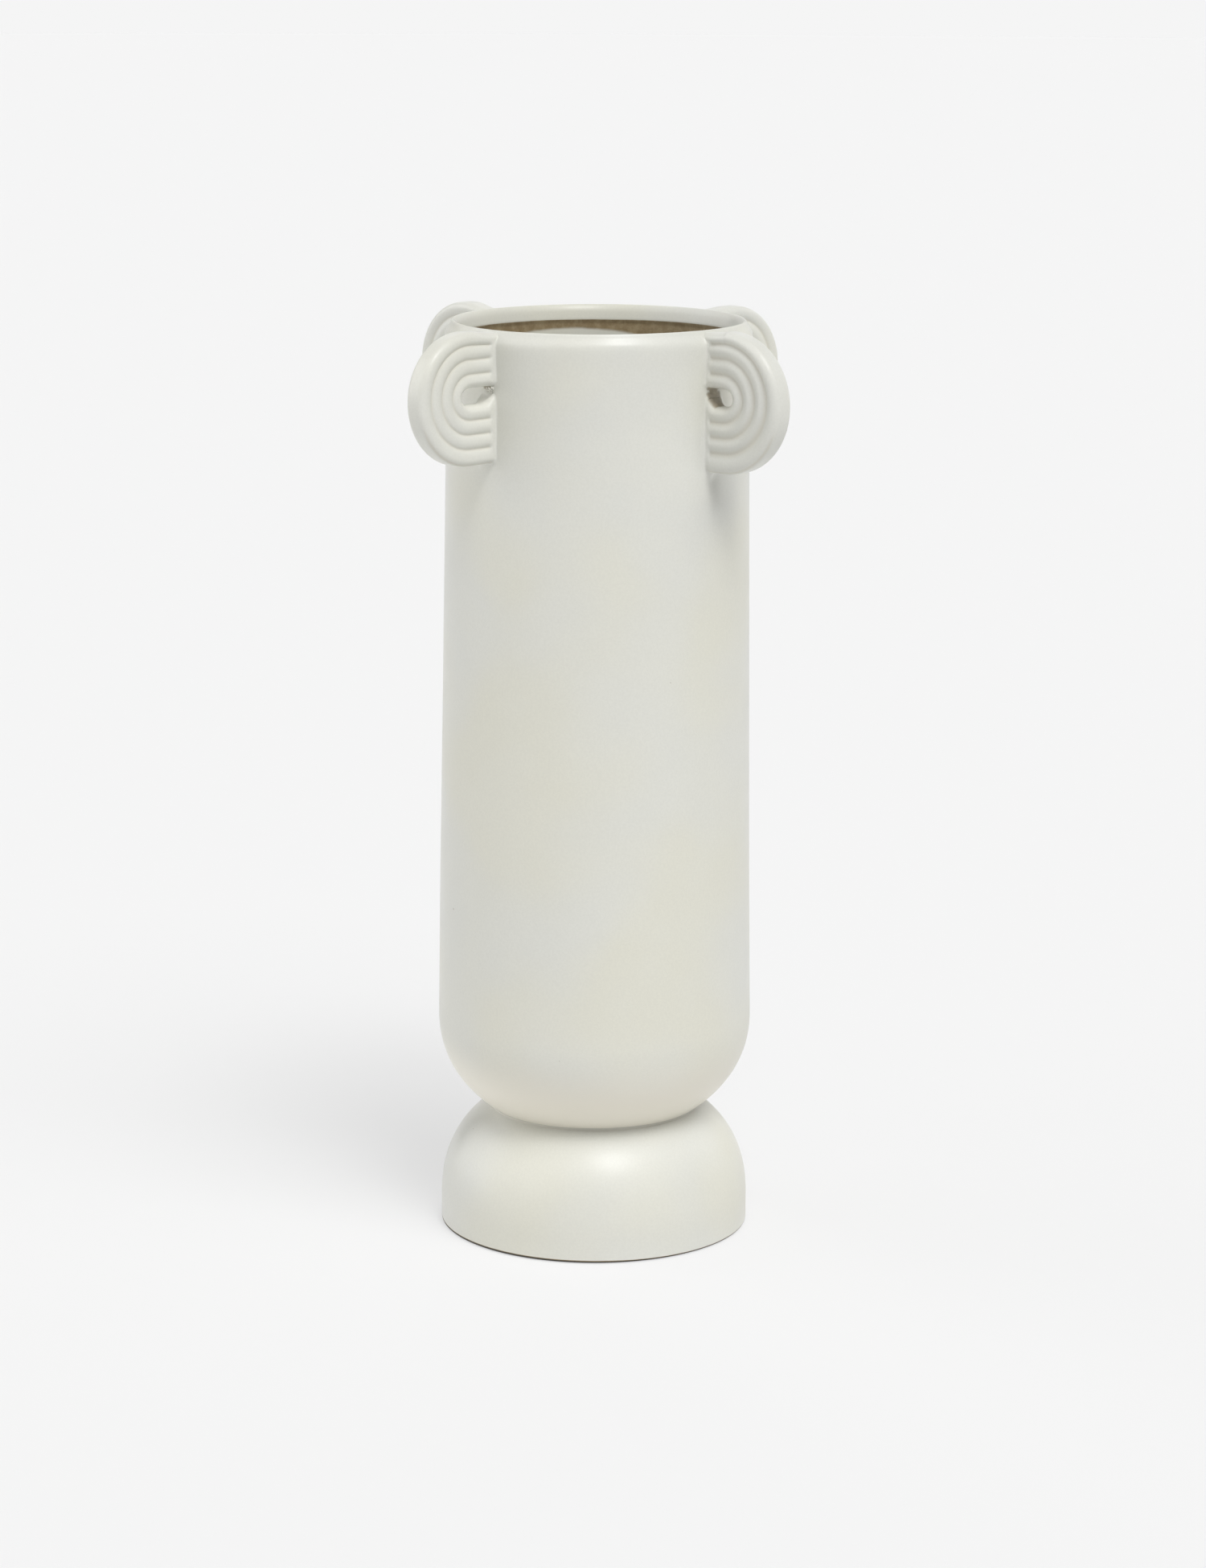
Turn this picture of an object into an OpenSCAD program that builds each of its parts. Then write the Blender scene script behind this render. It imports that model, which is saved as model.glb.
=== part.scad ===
// Ceramic bud vase: a tall round vessel on a domed foot, with four ridged ears set round its mouth.
// Millimetres, +Z up. The origin is the centre of the foot's resting face and -Y is the front.

/* [Vessel] */
// Height of the vase to the top of its lip
vase_h = 305; // [295:1:315]
// Outer diameter of the wall just under the lip
wall_top_d = 98.4; // [96:0.2:101]
// Outer diameter of the bowl at its widest
bowl_d = 104.6; // [102:0.2:107]
// Height of the bowl's widest point
bowl_wide_z = 72.2; // [71:0.2:75]
// Drop from the widest point to the bottom of the bowl
bowl_drop = 40.5; // [39:0.5:42]
// Fullness of the bowl's curve, where 2 is an ellipse
bowl_power = 2.12; // [2:0.02:2.3]
// Thickness of the cast wall
wall_t = 4; // [3.5:0.1:4.5]

/* [Lip] */
// Thickness of the rounded lip
lip_t = 4.1; // [3.8:0.1:4.6]
// How far the lip turns out past the wall
lip_out = 1; // [0.6:0.1:1.4]
// Height over which the wall turns out to the lip
lip_turn_h = 9; // [7:0.5:12]

/* [Foot] */
// Outer diameter of the foot where it stands
foot_d = 103.3; // [101:0.1:106]
// Height of the upright band at the bottom of the foot
foot_band_h = 7.8; // [6:0.2:9]
// Rise of the foot's dome above that band, if it closed at the top
foot_rise = 41.3; // [40:0.1:43]
// Fullness of the dome's curve, where 2 is an ellipse
foot_power = 2.35; // [2.2:0.05:2.4]
// Bevel round the standing edge
foot_bevel = 0.5; // [0.3:0.1:1.2]

/* [Ears] */
// Half the height of an ear
ear_r = 22; // [21.5:0.1:22.6]
// Distance from the vase's axis to the centre of an ear's round end
ear_reach = 60.4; // [59.6:0.2:62]
// Height of an ear's middle
ear_z = 283.8; // [283:0.1:284.2]
// Thickness of an ear over its ridges
ear_t = 7.8; // [7.4:0.1:8.6]
// Ridges running round each ear
ear_ridges = 4; // [3:1:4]
// Spacing of the ridges
ridge_pitch = 4.75; // [4.6:0.05:4.8]
// Radius of a ridge's rounded top
ridge_r = 2.6; // [2.5:0.1:2.8]
// Depth of the grooves between the ridges
groove_depth = 0.9; // [0.7:0.1:1.2]
// Half the height of the slot inside an ear
slot_r = 2.85; // [2.65:0.05:3]

/* [Slip joints] */
// Radius of the bead of slip in the crease between bowl and foot
neck_bead_r = 1.5; // [1.2:0.1:1.8]
// Thickness of the beads of slip where an ear meets the wall
ear_bead_t = 1.3; // [1:0.1:1.6]

/* [Hidden] */
$fn = 128;

glaze_color = "#D6D4CA";
slip_color = "#E2E0D8";

curve_steps = 24; // points along each curved stretch of a profile
lip_steps = 12; // points round the lip
overlap = 0.01; // how far a cutter passes the face it cuts
root_sink = 1.5; // how far a bead of slip starts inside the wall, before the wall is cut away from it

wall_top_r = wall_top_d / 2;
bowl_r = bowl_d / 2;
foot_r = foot_d / 2;
lip_r = lip_t / 2;
lip_center_r = wall_top_r + lip_out - lip_r;
lip_center_z = vase_h - lip_r;
lip_turn_z = vase_h - lip_turn_h;

// The ears were set by hand, so each differs a little.
// Each place is [turn from +X in degrees, lift, move outward, size against the nominal ear].
EAR_FRONT_LEFT = [225.4, 0.1, -0.2, 0.986];
EAR_FRONT_RIGHT = [318, -1.4, -3.4, 1.036];
EAR_BACK_LEFT = [134.5, 1.1, 0.8, 0.965];
EAR_BACK_RIGHT = [44.5, 0.2, 2.4, 0.955];

// ---- Curves ----

// A quarter of a rounded square: x = 1 at t = 0 and y = 1 at t = 90
function quarter(t, power) = [pow(cos(t), 2 / power), pow(sin(t), 2 / power)];

// Radius of the outer wall at a height between the bowl's widest point and the lip
function wall_r(z) =
    bowl_r + (wall_top_r - bowl_r) * (z - bowl_wide_z) / (lip_turn_z - bowl_wide_z);

// The wall's face from the bottom of the bowl up to the lip's turn, set in from the outside by inset
function bowl_side(inset) = [
    for (i = [0:curve_steps])
        let (q = quarter(90 * (1 - i / curve_steps), bowl_power))
            [q[0] * (bowl_r - inset), bowl_wide_z - q[1] * (bowl_drop - inset)],
    [wall_r(lip_turn_z) - inset, lip_turn_z]
];

// The dome's face from the top down to the band, set in from the outside by inset
function dome_side(inset) = [
    for (i = [0:curve_steps])
        let (q = quarter(90 * (1 - i / curve_steps), foot_power))
            [q[0] * (foot_r - inset), foot_band_h + q[1] * (foot_rise - inset)]
];

// The lip's rounded edge, from its outer side over the top to its inner side
lip_edge = [
    for (i = [0:lip_steps])
        let (a = 180 * i / lip_steps)
            [lip_center_r + lip_r * cos(a), lip_center_z + lip_r * sin(a)]
];

// ---- Vessel ----

// The vessel's outer shape, filled
module vessel_outside() {
    rotate_extrude()
        polygon(concat(bowl_side(0), lip_edge, [[0, lip_center_z + lip_r]]));
}

// The bowl and wall as a shell, with the rounded lip
module vessel_body() {
    inner = bowl_side(wall_t);
    color(glaze_color)
        rotate_extrude()
            polygon(concat(
                bowl_side(0),
                lip_edge,
                [for (i = [len(inner) - 1:-1:0]) inner[i]]
            ));
}

// ---- Foot ----

// The foot's outer shape, filled
module foot_outside() {
    rotate_extrude()
        polygon(concat(
            dome_side(0),
            [[foot_r, foot_bevel], [foot_r - foot_bevel, 0], [0, 0]]
        ));
}

// The foot's hollow, open below
module foot_hollow() {
    rotate_extrude()
        polygon(concat(
            dome_side(wall_t),
            [[foot_r - wall_t, -overlap], [0, -overlap]]
        ));
}

// The domed foot, with its top shaped to the bowl that stands in it
module pedestal_foot() {
    color(glaze_color)
        difference() {
            foot_outside();
            foot_hollow();
            vessel_outside();
        }
}

// Difference in height between the bowl and the dome at radius r
function neck_gap(r) =
    bowl_wide_z - bowl_drop * pow(1 - pow(r / bowl_r, bowl_power), 1 / bowl_power)
    - foot_band_h - foot_rise * pow(1 - pow(r / foot_r, foot_power), 1 / foot_power);

// Radius of the crease where bowl and dome meet, found by halving the range that holds it
function neck_r(low, high, steps) =
    let (mid = (low + high) / 2)
        steps == 0 ? mid
        : neck_gap(mid) > 0 ? neck_r(low, mid, steps - 1)
        : neck_r(mid, high, steps - 1);

crease_r = neck_r(20, 48, 30);
crease_z = bowl_wide_z - bowl_drop * pow(1 - pow(crease_r / bowl_r, bowl_power), 1 / bowl_power);

// The bead of slip that fills the crease between bowl and foot
module neck_slip_joint() {
    color(slip_color)
        difference() {
            rotate_extrude()
                translate([crease_r + neck_bead_r / 2, crease_z])
                    circle(r = neck_bead_r);
            vessel_outside();
            foot_outside();
        }
}

// ---- Ears ----

// Section across the ridges: x is the distance from the ear's middle line, y runs through its thickness
module ridge_section() {
    half_flat = ear_t / 2 - ridge_r;
    half_core = ear_t / 2 - groove_depth;
    difference() {
        union() {
            translate([0, -half_core])
                square([ear_r - ridge_r, 2 * half_core]);
            for (i = [0:ear_ridges - 1])
                translate([ear_r - ridge_r - i * ridge_pitch, 0]) {
                    for (side = [-1, 1])
                        translate([0, side * half_flat])
                            circle(r = ridge_r);
                    translate([-ridge_r, -half_flat])
                        square([2 * ridge_r, 2 * half_flat]);
                }
        }
        translate([slot_r - ear_r, -ear_t])
            square([ear_r, 2 * ear_t]);
    }
}

// One straight run of the ridges, from the wall out to the round end
module ear_leg(length) {
    translate([-length, 0, 0])
        rotate([90, 0, 90])
            linear_extrude(length)
                ridge_section();
}

// An ear lying flat: round end towards +X, centred on the origin
module flat_ear(length) {
    rotate([0, 0, -90])
        rotate_extrude(angle = 180)
            ridge_section();
    ear_leg(length);
    mirror([0, 1, 0])
        ear_leg(length);
}

// Puts an ear's flat frame at its place on the vase
module at_ear(place) {
    rotate([0, 0, place[0]])
        translate([ear_reach + place[2], 0, ear_z + place[1]])
            rotate([90, 0, 0])
                children();
}

// A whole ear, its root shaped to the wall
module ear(place) {
    root_r = wall_top_r - 0.2;
    size = place[3];
    difference() {
        at_ear(place)
            scale([size, size, size])
                flat_ear((ear_reach + place[2] - root_r) / size);
        vessel_outside();
    }
}

// Outline of a leg without its ridges, grown outwards: x and y are those of the ridges' section
module leg_outline(grow) {
    half_flat = ear_t / 2 - ridge_r;
    corner_x = ear_r - ridge_r;
    translate([0, -ear_t / 2 - grow])
        square([corner_x, ear_t + 2 * grow]);
    for (side = [-1, 1])
        translate([corner_x, side * half_flat])
            circle(r = ridge_r + grow);
    translate([0, -half_flat])
        square([ear_r + grow, 2 * half_flat]);
}

// The bead of slip round a leg, from the slot to a distance from the ear's middle line
module bead_section(reach) {
    start = slot_r + ear_bead_t;
    intersection() {
        difference() {
            leg_outline(ear_bead_t);
            ridge_section();
        }
        translate([start, -ear_t])
            square([reach - start, 2 * ear_t]);
    }
}

// The beads of slip on both faces of an ear's root, and under it
module ear_slip_joint(place) {
    size = place[3];
    reach = ear_reach + place[2];
    bead_depth = 2 * ear_bead_t + root_sink;
    face_top = (lip_turn_z - ear_z - place[1]) / size;
    difference() {
        at_ear(place)
            scale([size, size, size])
                translate([(wall_top_r - root_sink - reach) / size, 0, 0]) {
                    rotate([90, 0, 90])
                        linear_extrude(bead_depth)
                            bead_section(face_top);
                    mirror([0, 1, 0])
                        rotate([90, 0, 90])
                            linear_extrude(bead_depth)
                                bead_section(2 * ear_r);
                }
        vessel_outside();
    }
}

module ear_front_left() { color(glaze_color) ear(EAR_FRONT_LEFT); }
module ear_front_right() { color(glaze_color) ear(EAR_FRONT_RIGHT); }
module ear_back_left() { color(glaze_color) ear(EAR_BACK_LEFT); }
module ear_back_right() { color(glaze_color) ear(EAR_BACK_RIGHT); }

module slip_joint_front_left() { color(slip_color) ear_slip_joint(EAR_FRONT_LEFT); }
module slip_joint_front_right() { color(slip_color) ear_slip_joint(EAR_FRONT_RIGHT); }
module slip_joint_back_left() { color(slip_color) ear_slip_joint(EAR_BACK_LEFT); }
module slip_joint_back_right() { color(slip_color) ear_slip_joint(EAR_BACK_RIGHT); }

vessel_body();
pedestal_foot();
neck_slip_joint();
ear_front_left();
ear_front_right();
ear_back_left();
ear_back_right();
slip_joint_front_left();
slip_joint_front_right();
slip_joint_back_left();
slip_joint_back_right();
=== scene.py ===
"""Looks of the ceramic bud vase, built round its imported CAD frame. Metres, +Z up, -Y is the front."""

import math

import bmesh
import bpy
import numpy as np
from mathutils import Matrix, Vector


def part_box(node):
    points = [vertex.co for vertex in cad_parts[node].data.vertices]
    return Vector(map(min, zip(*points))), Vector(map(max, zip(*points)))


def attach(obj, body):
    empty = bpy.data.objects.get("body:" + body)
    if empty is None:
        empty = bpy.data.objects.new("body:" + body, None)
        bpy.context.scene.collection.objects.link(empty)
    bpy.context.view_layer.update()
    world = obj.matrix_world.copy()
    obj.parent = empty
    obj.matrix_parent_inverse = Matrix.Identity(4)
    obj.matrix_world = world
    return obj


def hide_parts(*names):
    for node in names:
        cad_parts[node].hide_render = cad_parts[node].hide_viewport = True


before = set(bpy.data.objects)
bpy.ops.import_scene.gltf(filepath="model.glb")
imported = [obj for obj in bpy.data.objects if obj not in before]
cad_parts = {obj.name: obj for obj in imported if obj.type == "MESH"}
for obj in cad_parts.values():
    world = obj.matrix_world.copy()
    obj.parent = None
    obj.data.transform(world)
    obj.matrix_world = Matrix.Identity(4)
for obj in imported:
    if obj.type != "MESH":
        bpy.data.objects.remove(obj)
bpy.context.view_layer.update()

MM = 0.001

# ---------------------------------------------------------------- the CAD's own sizes

vessel_lo, vessel_hi = (np.array(v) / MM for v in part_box("vessel_body"))
foot_lo, foot_hi = (np.array(v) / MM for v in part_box("pedestal_foot"))
BOWL_R = (vessel_hi[0] - vessel_lo[0]) / 2
BOWL_BOTTOM = vessel_lo[2]
LIP_Z = vessel_hi[2]
FOOT_R = (foot_hi[0] - foot_lo[0]) / 2

# Shape of the profiles, as in the CAD
BOWL_WIDE_Z = 72.2
BOWL_POWER = 2.12
WALL_TOP_R = 49.2
WALL = 4.0
LIP_TURN_Z = LIP_Z - 9
FOOT_BAND = 7.8
FOOT_RISE = 41.3
FOOT_POWER = 2.35
SLOT_R = 2.85
RIDGE_PITCH = 4.75
RIDGE_R = 2.6
EAR_R = 22.0  # the nominal ear, against which the others are scaled
LEAN = 0.7  # how far the mouth stands to the right of the foot
LEAN_FROM = 110  # height from which the wall leans


def quarter(t, power):
    """A quarter of a rounded square: x = 1 at t = 0 and y = 1 at t = 90 degrees."""
    a = math.radians(t)
    return math.cos(a) ** (2 / power), math.sin(a) ** (2 / power)


def wall_r(z):
    """Radius of the outer wall at a height, between the bowl's widest point and the lip's turn."""
    return BOWL_R + (WALL_TOP_R - BOWL_R) * (z - BOWL_WIDE_Z) / (LIP_TURN_Z - BOWL_WIDE_Z)


def lean(z):
    """How far the wall stands to the right at a height."""
    t = np.clip((np.asarray(z, float) - LEAN_FROM) / (LIP_Z - LEAN_FROM), 0, 1)
    return LEAN * t * t


def smooth(x, low, high):
    """0 below low, 1 above high, with an even turn between them."""
    t = np.clip((np.asarray(x, float) - low) / (high - low), 0, 1)
    return t * t * (3 - 2 * t)


def curve_through(points, step):
    """Points about step apart on a Catmull-Rom curve through the given ones."""
    p = np.array(points, float)
    p = np.vstack([2 * p[0] - p[1], p, 2 * p[-1] - p[-2]])
    out = []
    for a, b, c, d in zip(p[:-3], p[1:-2], p[2:-1], p[3:]):
        n = max(2, int(round(np.linalg.norm(c - b) / step)))
        slope, bend, twist = c - a, 2 * a - 5 * b + 4 * c - d, 3 * b - a - 3 * c + d
        for t in np.arange(n) / n:
            out.append(0.5 * (2 * b + slope * t + bend * t**2 + twist * t**3))
    return np.array(out + [p[-2]])


# ---------------------------------------------------------------- meshes


def make_piece(name, verts_mm, faces, marks=None):
    """A mesh piece from points in millimetres. marks are the named values that its material reads."""
    mesh = bpy.data.meshes.new(name)
    mesh.from_pydata([tuple(v) for v in np.asarray(verts_mm) * MM], [], faces)
    mesh.update()
    mesh.shade_smooth()
    for key, values in (marks or {}).items():
        layer = mesh.attributes.new(key, "FLOAT", "POINT")
        layer.data.foreach_set("value", np.asarray(values, np.float32))
    piece = bpy.data.objects.new(name, mesh)
    bpy.context.collection.objects.link(piece)
    return piece


def grid_faces(rows, columns, row_closed, column_closed, first=0):
    """Quads of a grid of points numbered row by row."""
    faces = []
    for i in range(rows if row_closed else rows - 1):
        for j in range(columns if column_closed else columns - 1):
            a, b = i, (i + 1) % rows
            c, d = j, (j + 1) % columns
            corners = (a * columns + c, a * columns + d, b * columns + d, b * columns + c)
            faces.append(tuple(first + k for k in corners))
    return faces


def lathe(profile, turns, poles):
    """A profile of (radius, height), turned about the axis. With poles, its ends are points on the axis.
    Without, it is a closed loop."""
    p = np.asarray(profile, float)
    ring = p[1:-1] if poles else p
    angle = 2 * np.pi * np.arange(turns) / turns
    verts = np.empty((len(ring), turns, 3))
    verts[:, :, 0] = ring[:, :1] * np.cos(angle)
    verts[:, :, 1] = ring[:, :1] * np.sin(angle)
    verts[:, :, 2] = ring[:, 1:]
    verts = verts.reshape(-1, 3)
    faces = grid_faces(len(ring), turns, not poles, True)
    if poles:
        low, high = len(verts), len(verts) + 1
        verts = np.vstack([verts, [0, 0, p[0, 1]], [0, 0, p[-1, 1]]])
        last = (len(ring) - 1) * turns
        for j in range(turns):
            k = (j + 1) % turns
            faces.append((low, k, j))
            faces.append((high, last + j, last + k))
    return verts, faces


WALL_WOBBLE = 0.12
FOOT_WOBBLE = 0.07
WOBBLE_FROM_R = 15  # nearer the axis than this, the unevenness fades out


def wobble(angle, z):
    """-1 to 1, slow over the surface, as a cast and sponged wall is uneven."""
    return (
        0.5 * np.sin(2 * angle + 0.021 * z + 0.7)
        + 0.3 * np.sin(3 * angle - 0.034 * z + 2.1)
        + 0.2 * np.sin(5 * angle + 0.055 * z + 4.0)
    )


def hand_wobble(verts, size):
    """Moves points in or out by up to size."""
    x, y, z = verts.T
    k = 1 + size * wobble(np.arctan2(y, x), z) / np.maximum(np.hypot(x, y), WOBBLE_FROM_R)
    verts[:, 0] *= k
    verts[:, 1] *= k


RIM_DROP = 0.12  # how far the rim sinks, on average
RIM_REACH = 20  # how far below the lip's top the rim starts to sink


def rim_drop(angle, z):
    """How far the rim sinks, unevenly, at a height near it."""
    uneven = 1 + np.sin(2 * angle + 0.6) * 0.6 + np.sin(3 * angle + 2.0) * 0.4
    return smooth(z, LIP_Z - RIM_REACH, LIP_Z) * RIM_DROP * uneven


# ---------------------------------------------------------------- vessel

TURNS = 240
LIP_FROM = 33  # the plain wall ends this far below the lip's top outside, and
LIP_FROM_INSIDE = 22  # this far below it inside
PAST_BOWL = 4  # the wall's first ring stands this far above the bowl's widest point


def bowl_points(inset, steps):
    """Points up the bowl's face, set in by inset, from the axis to its widest point."""
    return [
        ((BOWL_R - inset) * q[0], BOWL_WIDE_Z - (BOWL_WIDE_Z - BOWL_BOTTOM - inset) * q[1])
        for q in (quarter(90 * (1 - i / steps), BOWL_POWER) for i in range(steps + 1))
    ]


bowl_outside = bowl_points(0, 60)
bowl_inside = bowl_points(WALL, 50)
wall_outside = [(wall_r(z), z) for z in np.linspace(BOWL_WIDE_Z + PAST_BOWL, LIP_Z - LIP_FROM, 44)]
# The lip: a shoulder outside, a slope up to its top, a slope down, its inner side and the hollow under it.
# Each point is (radius, height below the lip's top).
LIP_POINTS = [
    (49.5, 30.0), (49.62, 20.0), (49.8, 12.0), (49.95, 8.6), (50.03, 6.9), (50.06, 5.7), (50.0, 4.7),
    (49.84, 3.85), (49.56, 3.15), (49.15, 2.5), (48.7, 1.85), (48.28, 1.15), (47.93, 0.42), (47.6, 0.0),
    (47.2, 0.06), (46.75, 0.5), (46.35, 1.1), (46.02, 1.8), (45.78, 2.6), (45.54, 3.6), (45.34, 4.7),
    (45.42, 5.4), (45.6, 6.3), (45.5, 8.0), (45.4, 10.4), (45.3, 13.0), (45.3, 16.0),
]
lip = curve_through([(r, LIP_Z - drop) for r, drop in LIP_POINTS], 0.3)
lip_top = np.argmax(lip[:, 1])
outer_face = np.vstack([wall_outside, lip[:lip_top]])
inside_heights = np.linspace(LIP_Z - LIP_FROM_INSIDE, BOWL_WIDE_Z + PAST_BOWL, 40)
wall_inside = [(wall_r(z) - WALL, z) for z in inside_heights]
vessel_profile = np.vstack([bowl_outside, wall_outside, lip, wall_inside, bowl_inside[::-1]])
vessel_profile[0, 0] = vessel_profile[-1, 0] = 0
verts, faces = lathe(vessel_profile, TURNS, True)
# Which part of the profile each ring is on, to tell the outside from the inside
ring_index = np.repeat(np.arange(1, len(vessel_profile) - 1), TURNS)
ring_index = np.append(ring_index, [0, len(vessel_profile) - 1])
is_inside = (ring_index >= len(bowl_outside) + len(wall_outside) + lip_top).astype(float)
hand_wobble(verts, WALL_WOBBLE)
around = np.arctan2(verts[:, 1], verts[:, 0])
verts[:, 2] -= rim_drop(around, verts[:, 2])
verts[:, 0] += lean(verts[:, 2])

# The sprayed glaze misses a band under the lip's inner edge. It is narrowest near the middle of the back.
# Depths are measured down from the lip's top.
BAND_START = (4.6, 5.4)
BAND_NARROWEST = math.radians(104)
BAND_END, BAND_WIDENS, BAND_END_DEEPEST = 7.2, 15.0, 18
FADES_BEFORE, FADES_AFTER = 1.2, 2.8
depth = LIP_Z - verts[:, 2]
back = np.cos(around - BAND_NARROWEST)
band_end = np.minimum(BAND_END + BAND_WIDENS * (1 - back), BAND_END_DEEPEST)
past_band = smooth(depth, band_end - FADES_BEFORE, band_end + FADES_AFTER)
bare = is_inside * smooth(depth, *BAND_START) * (1 - past_band)
# Painted bounce light: the outside of the bowl is lightened and warmed towards its underside, as light from
# the floor would do.
PAINTED_BOUNCE_Z = (50, 71)
cream = (1 - is_inside) * (1 - smooth(verts[:, 2], *PAINTED_BOUNCE_Z))
vessel = make_piece("vessel", verts, faces, {"bare": bare, "cream": cream})

# ---------------------------------------------------------------- foot


def bowl_z(r):
    """Height of the bowl's outside at a radius."""
    return BOWL_WIDE_Z - (BOWL_WIDE_Z - BOWL_BOTTOM) * (1 - (r / BOWL_R) ** BOWL_POWER) ** (1 / BOWL_POWER)


def dome_z(r, inset):
    """Height of the dome's face, set in by inset, at a radius."""
    r = min(r, FOOT_R - inset)
    return FOOT_BAND + (FOOT_RISE - inset) * (1 - (r / (FOOT_R - inset)) ** FOOT_POWER) ** (1 / FOOT_POWER)


def meeting_r(inset):
    """Radius where the bowl's outside meets the dome's face, set in by inset."""
    low, high = 20.0, 47.0
    for _ in range(40):
        mid = (low + high) / 2
        if bowl_z(mid) > dome_z(mid, inset):
            high = mid
        else:
            low = mid
    return low


crease_r, inner_crease_r = meeting_r(0), meeting_r(WALL)
SUNK = 0.4  # how far joined pieces run into each other
CREASE_IN = 0.9  # how far the slip and the foot's seat run on inside the crease
DOME_IN, INNER_DOME_IN = 0.6, 0.3  # how far the foot's outer and inner faces run on past it


def dome_points(from_r, inset, count):
    """Points down the dome's face, from a radius to the band."""
    start = math.degrees(math.acos(min(1, (from_r / (FOOT_R - inset)) ** (FOOT_POWER / 2))))
    return [
        ((FOOT_R - inset) * q[0], FOOT_BAND + (FOOT_RISE - inset) * q[1])
        for q in (quarter(t, FOOT_POWER) for t in np.linspace(start, 0, count))
    ]


# The foot's edge, from its outside round the worn ring that it stands on to its inside: (inset, height)
FOOT_EDGE = [
    (0, 3.2), (0, 1.3), (0.02, 0.85), (0.12, 0.5), (0.4, 0.3), (0.95, 0.2), (1.6, 0.12), (2.2, 0.04),
    (2.6, 0.0), (3.0, 0.0), (3.4, 0.12), (3.72, 0.42), (3.92, 0.95), (4.0, 1.8), (4.0, 3.6),
]
foot_edge = curve_through([(FOOT_R - inset, z) for inset, z in FOOT_EDGE], 0.25)
foot_edge[:, 1] = np.maximum(foot_edge[:, 1], 0)
outer_dome = dome_points(crease_r - DOME_IN, 0, 90)
inner_dome = dome_points(inner_crease_r - INNER_DOME_IN, WALL, 60)
seat = [(r, bowl_z(r) + SUNK) for r in np.linspace(inner_crease_r - INNER_DOME_IN, crease_r - CREASE_IN, 8)]
foot_profile = np.vstack([outer_dome, foot_edge, inner_dome[::-1], seat])
verts, faces = lathe(foot_profile, TURNS, False)
hand_wobble(verts, FOOT_WOBBLE)
# Painted contact shadow: the lowest band of the foot is marked bare and darkened to near black, reaching
# highest at the front left.
CONTACT_SHADOW_Z, CONTACT_SHADOW_UNEVEN, CONTACT_SHADOW_HIGHEST = 0.9, 0.3, math.radians(215)
around = np.arctan2(verts[:, 1], verts[:, 0])
contact_shadow_top = CONTACT_SHADOW_Z + CONTACT_SHADOW_UNEVEN * np.cos(around - CONTACT_SHADOW_HIGHEST)
CONTACT_SHADOW_MARK = 2  # past 1, the mark paints a near-black contact shadow
bare = CONTACT_SHADOW_MARK * (1 - smooth(verts[:, 2] / contact_shadow_top, 0.75, 1.1))
foot = make_piece("foot", verts, faces, {"bare": bare})

# ---------------------------------------------------------------- slip in the crease between bowl and foot

NECK_OUT = 0.7  # how far the slip reaches from the crease along either face
NECK_UNDER = 0.07  # how deep its hidden sides lie under those faces
NECK_DEEPER = 0.2  # and how much deeper they lie inside the crease
r_bowl = np.linspace(crease_r - CREASE_IN, crease_r + NECK_OUT + 0.5, 8)
on_bowl = [(r, bowl_z(r) + NECK_UNDER + NECK_DEEPER * (r < crease_r)) for r in r_bowl]
r_dome = np.linspace(crease_r + NECK_OUT + 0.4, crease_r - CREASE_IN, 8)
on_dome = [(r, dome_z(r, 0) - NECK_UNDER - NECK_DEEPER * (r < crease_r)) for r in r_dome]
top = np.array([crease_r + NECK_OUT, bowl_z(crease_r + NECK_OUT)])
low = np.array([crease_r + 0.9 * NECK_OUT, dome_z(crease_r + 0.9 * NECK_OUT, 0)])
corner = np.array([crease_r, bowl_z(crease_r)])
bend = 0.3 * (top + low) / 2 + 0.7 * corner
hollow = [(1 - t) ** 2 * top + 2 * t * (1 - t) * bend + t * t * low for t in np.linspace(0, 1, 9)]
neck_profile = np.vstack([on_bowl, hollow, on_dome])
verts, faces = lathe(neck_profile, TURNS, False)
# The glaze is thin in the crease, and the crease is also darkened there as painted shade, a little unevenly
# round it and most at the front right.
THIN_AND_SHADED, DARKEST_AT = 0.2, math.radians(-50)
around = np.arctan2(verts[:, 1], verts[:, 0])
bare = THIN_AND_SHADED + 0.06 * np.cos(around - DARKEST_AT)
bare += 0.05 * np.sin(5 * around)
bare += 0.04 * np.sin(11 * around + 1)
# The whole slip takes the pooled tint, which is painted shade in the crease.
neck = make_piece("neck_slip", verts, faces, {"bare": bare, "pool_and_shade": np.ones(len(verts))})

# ---------------------------------------------------------------- ears


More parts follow.
